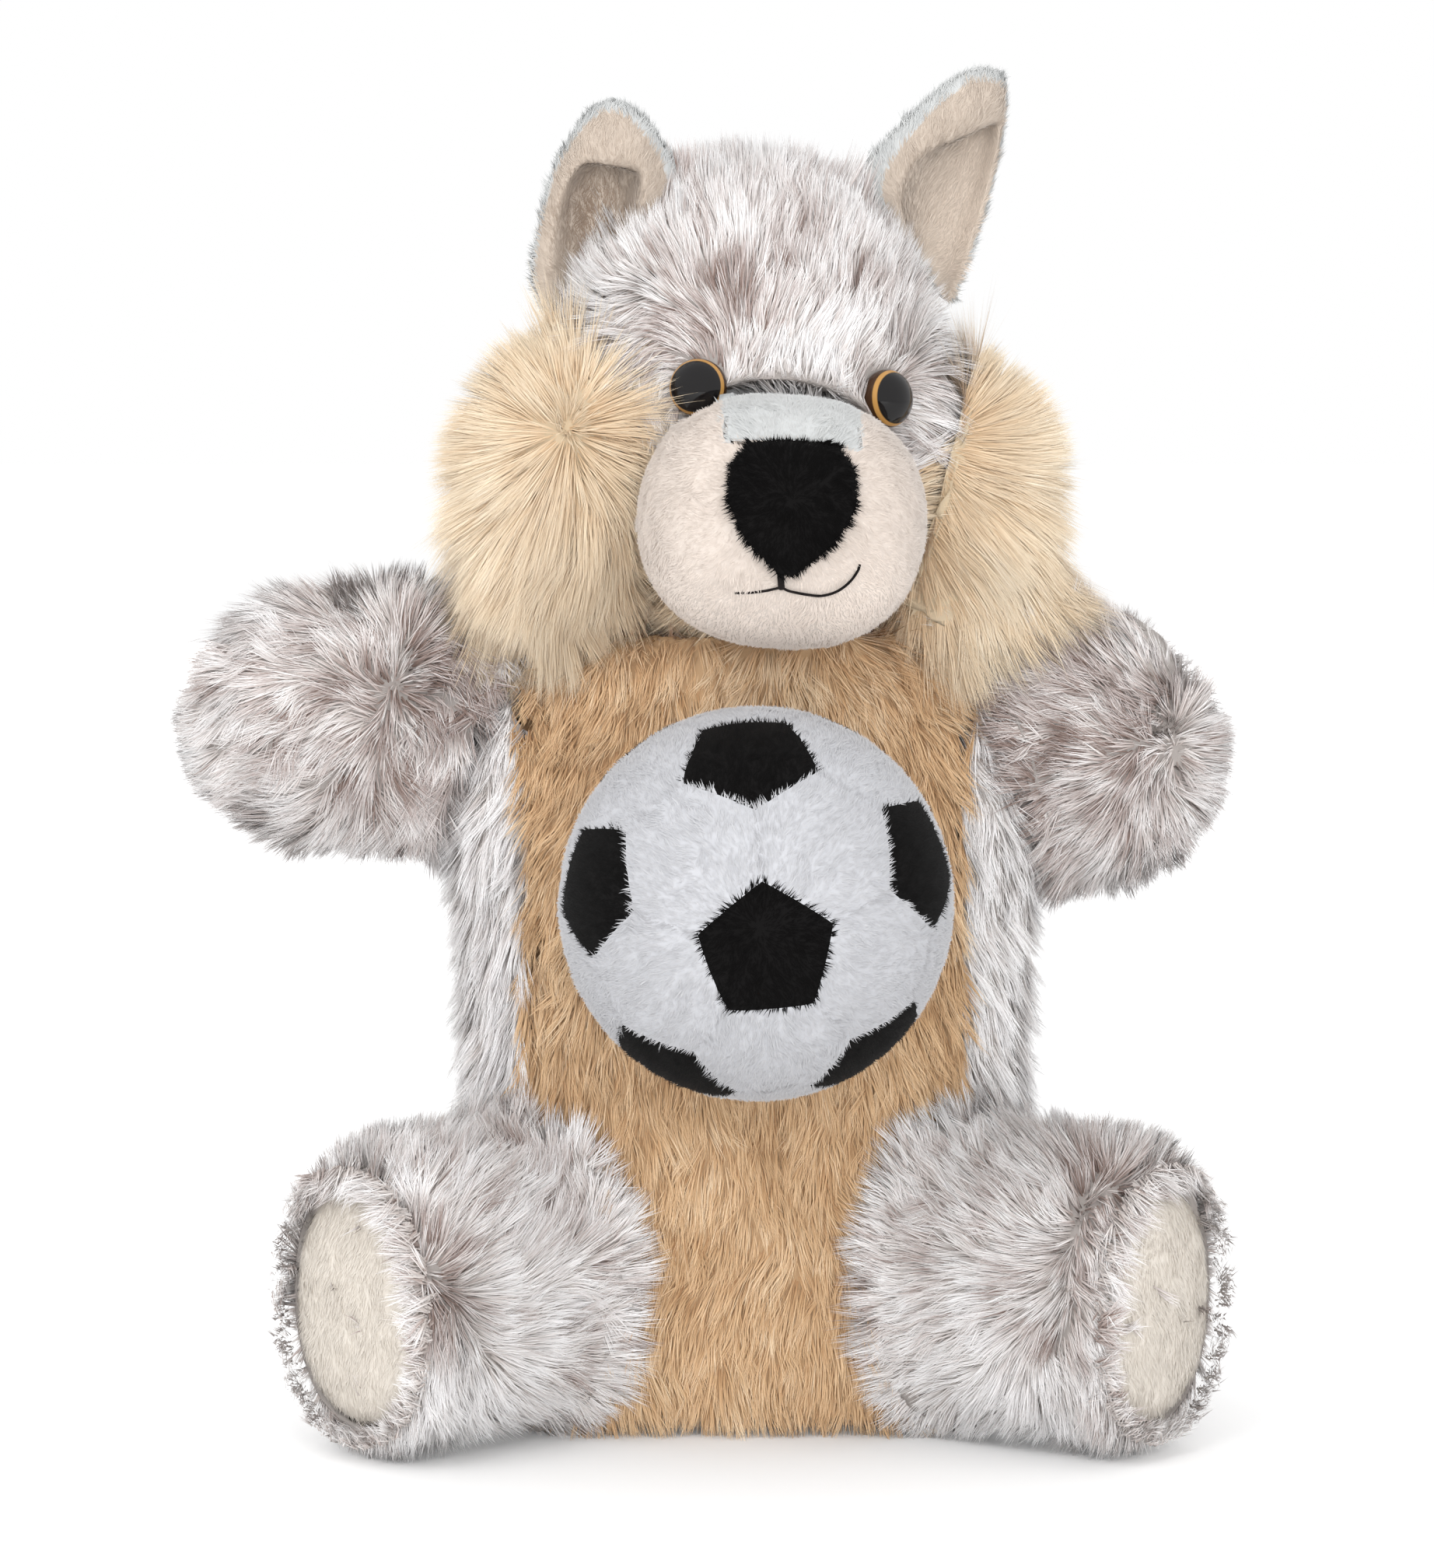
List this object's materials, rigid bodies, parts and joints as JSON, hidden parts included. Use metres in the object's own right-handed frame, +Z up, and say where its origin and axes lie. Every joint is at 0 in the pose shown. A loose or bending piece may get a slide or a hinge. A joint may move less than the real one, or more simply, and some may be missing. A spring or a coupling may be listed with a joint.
{
  "type": "plush hand puppet",
  "caption": "Sitting plush wolf hand puppet with an open hem, a finger pocket in the head and in each arm, stuffed feet and a stuffed football on its belly.",
  "frame": {"origin": "on the floor, under the middle of the puppet's outline seen from above", "axes": "+Z up through the head, -Y the way the face and the ball look, +X the viewer's right"},
  "size_m": [0.1988, 0.1453, 0.252],
  "materials": {
    "grey_fur": "long frosted pile",
    "tan_fur": "long pile",
    "cream_fur": "longer pile",
    "beige_plush": "short pile",
    "blue_plush": "short pile",
    "black_plush": "short pile",
    "white_plush": "short pile",
    "lining": "plain knitted cloth",
    "stuffing": "loose fibre",
    "eye": "clear domed plastic over a dark pupil and an amber ring",
    "washer": "moulded plastic",
    "thread": "embroidery thread"
  },
  "bodies": {
    "root": {"body_back": "grey_fur", "belly_panel": "tan_fur", "glove_lining": "lining", "arm_left": "grey_fur", "arm_right": "grey_fur", "leg_left": "grey_fur", "leg_right": "grey_fur", "leg_stuffing_left": "stuffing", "leg_stuffing_right": "stuffing", "sole_left": "beige_plush", "sole_right": "beige_plush", "head_cover": "grey_fur", "head_stuffing": "stuffing", "finger_sleeve": "lining", "cheek_left": "cream_fur", "cheek_right": "cream_fur", "muzzle": "beige_plush", "muzzle_bridge": "blue_plush", "muzzle_stuffing": "stuffing", "nose": "black_plush", "lip_stitch": "thread", "mouth_stitch": "thread", "eye_left": "eye", "eye_right": "eye", "eye_washer_left": "washer", "eye_washer_right": "washer", "ear_back_left": "blue_plush", "ear_back_right": "blue_plush", "ear_lining_left": "beige_plush", "ear_lining_right": "beige_plush", "ball_white_panels": "white_plush", "ball_stuffing": "stuffing", "ball_pentagon_01": "black_plush", "ball_pentagon_02": "black_plush", "ball_pentagon_03": "black_plush", "ball_pentagon_04": "black_plush", "ball_pentagon_05": "black_plush", "ball_pentagon_06": "black_plush", "ball_pentagon_07": "black_plush", "ball_pentagon_08": "black_plush", "ball_pentagon_09": "black_plush", "ball_pentagon_10": "black_plush", "ball_pentagon_11": "black_plush", "ball_pentagon_12": "black_plush"}
  },
  "joints": []
}
